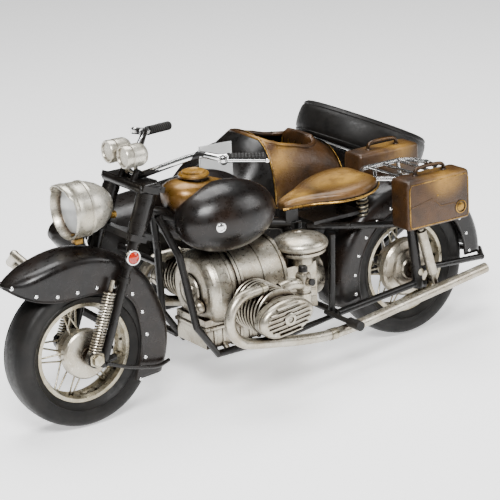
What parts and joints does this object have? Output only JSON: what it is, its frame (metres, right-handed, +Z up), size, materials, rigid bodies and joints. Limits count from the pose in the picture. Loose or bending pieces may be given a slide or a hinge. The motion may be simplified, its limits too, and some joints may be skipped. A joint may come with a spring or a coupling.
{
  "type": "tin model motorcycle with sidecar",
  "caption": "Tin display model of a vintage flat-twin motorcycle with a torpedo sidecar, spare wheel, side cases, rolling wheels and a steering fork.",
  "frame": {"origin": "centre of the bounding box at floor level, with the wheels standing on z = 0", "axes": "+X rearwards along the bike, +Y to the sidecar side, +Z up"},
  "size_m": [0.411, 0.257, 0.1806],
  "materials": {
    "black_paint": "satin",
    "tyre_rubber": "matte",
    "wheel_silver": "satin",
    "aged_silver": "satin",
    "bright_chrome": "gloss",
    "bronze_paint": "satin",
    "brown_paint": "satin",
    "red_lens": "gloss",
    "clear_lens": "gloss"
  },
  "bodies": {
    "chassis": {"air_cleaner": "aged_silver", "carburettors": "aged_silver", "case_handles": "bronze_paint", "case_left": "brown_paint", "case_right": "brown_paint", "chassis_crossbars": "black_paint", "chassis_rail_far": "black_paint", "chassis_rail_near": "black_paint", "cradle_left": "black_paint", "cradle_right": "black_paint", "crankcase": "aged_silver", "cylinders": "aged_silver", "exhaust_pipes": "aged_silver", "footpegs": "tyre_rubber", "frame_spine": "black_paint", "fuel_cap": "bronze_paint", "fuel_tank": "bronze_paint", "gearbox": "aged_silver", "rear_axle": "wheel_silver", "rear_dampers": "bright_chrome", "rear_fender": "black_paint", "rear_frame": "black_paint", "rear_rack": "wheel_silver", "rider_saddle": "bronze_paint", "rocker_covers": "aged_silver", "saddle_springs": "bright_chrome", "sidecar_body": "black_paint", "sidecar_fender": "black_paint", "sidecar_screen": "clear_lens", "sidecar_seat": "brown_paint", "spare_rim": "wheel_silver", "spare_tyre": "tyre_rubber", "tank_domes": "black_paint"},
    "steering": {"front_axle": "wheel_silver", "fork_leg_left": "black_paint", "fork_leg_right": "black_paint", "fork_bridge": "black_paint", "fork_springs": "aged_silver", "front_fender": "black_paint", "headlamp_shell": "aged_silver", "headlamp_lens": "clear_lens", "side_reflectors": "red_lens", "handlebar": "wheel_silver", "grips": "tyre_rubber", "instrument_cans": "bright_chrome"},
    "front_wheel": {"front_tyre": "tyre_rubber", "front_rim": "wheel_silver", "front_spokes": "wheel_silver", "front_hub": "aged_silver"},
    "rear_wheel": {"rear_tyre": "tyre_rubber", "rear_rim": "wheel_silver", "rear_spokes": "wheel_silver", "rear_hub": "aged_silver"},
    "sidecar_wheel": {"sidecar_tyre": "tyre_rubber", "sidecar_rim": "wheel_silver", "sidecar_spokes": "wheel_silver", "sidecar_hub": "aged_silver"},
    "left_lever": {"clutch_lever": "bright_chrome"},
    "right_lever": {"brake_lever": "bright_chrome"},
    "shift_lever": {"gear_lever": "aged_silver"}
  },
  "joints": [
    {"name": "steering_turn", "type": "hinge", "parent": "chassis", "child": "steering", "pos_m": [-0.09867, -0.0545, 0.13247], "axis": [0.3584, 0, 0.9336], "range_deg": [-25, 25]},
    {"name": "front_wheel_spin", "type": "hinge", "parent": "steering", "child": "front_wheel", "pos_m": [-0.1545, -0.0545, 0.05], "axis": [0, 1, 0], "continuous": true},
    {"name": "rear_wheel_spin", "type": "hinge", "parent": "chassis", "child": "rear_wheel", "pos_m": [0.1075, -0.0545, 0.05], "axis": [0, 1, 0], "continuous": true},
    {"name": "sidecar_wheel_spin", "type": "hinge", "parent": "chassis", "child": "sidecar_wheel", "pos_m": [0.0775, 0.1105, 0.05], "axis": [0, 1, 0], "continuous": true},
    {"name": "left_lever_pull", "type": "hinge", "parent": "steering", "child": "left_lever", "pos_m": [-0.07008, -0.1086, 0.17058], "axis": [0, 0, 1], "range_deg": [0, 6]},
    {"name": "right_lever_pull", "type": "hinge", "parent": "steering", "child": "right_lever", "pos_m": [-0.07008, -0.0004, 0.17058], "axis": [0, 0, -1], "range_deg": [0, 6]},
    {"name": "shift_lever_rock", "type": "hinge", "parent": "chassis", "child": "shift_lever", "pos_m": [0.0045, -0.08, 0.052], "axis": [0, 1, 0], "range_deg": [-8, 8]}
  ]
}
